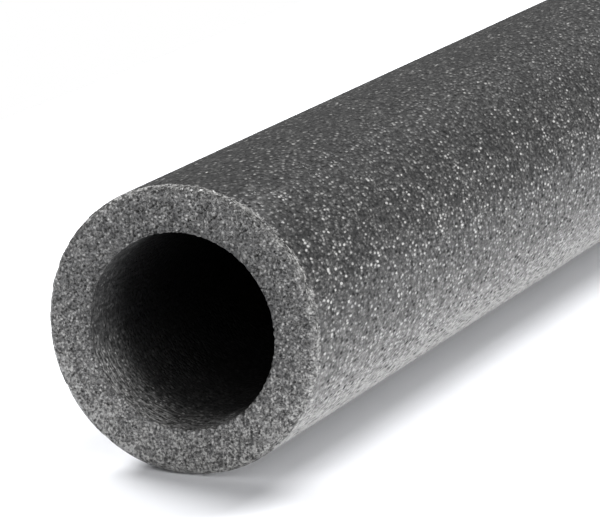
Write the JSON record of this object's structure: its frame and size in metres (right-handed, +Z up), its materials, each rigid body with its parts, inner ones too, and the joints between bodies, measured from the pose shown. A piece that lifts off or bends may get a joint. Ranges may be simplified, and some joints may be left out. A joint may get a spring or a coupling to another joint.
{
  "type": "foam pipe lagging tube",
  "caption": "Length of round closed-cell foam tube with a thick wall and an open bore that slips over a pipe to insulate it, cut square at both ends.",
  "frame": {"origin": "centre of the footprint, on the floor under the middle of the tube", "axes": "+X along the tube, +Y across it, +Z up"},
  "size_m": [1, 0.0538, 0.0539],
  "materials": {
    "foam": "matt charcoal closed-cell foam with a fine sparkling skin"
  },
  "bodies": {
    "root": {"foam_tube": "foam"}
  },
  "joints": []
}
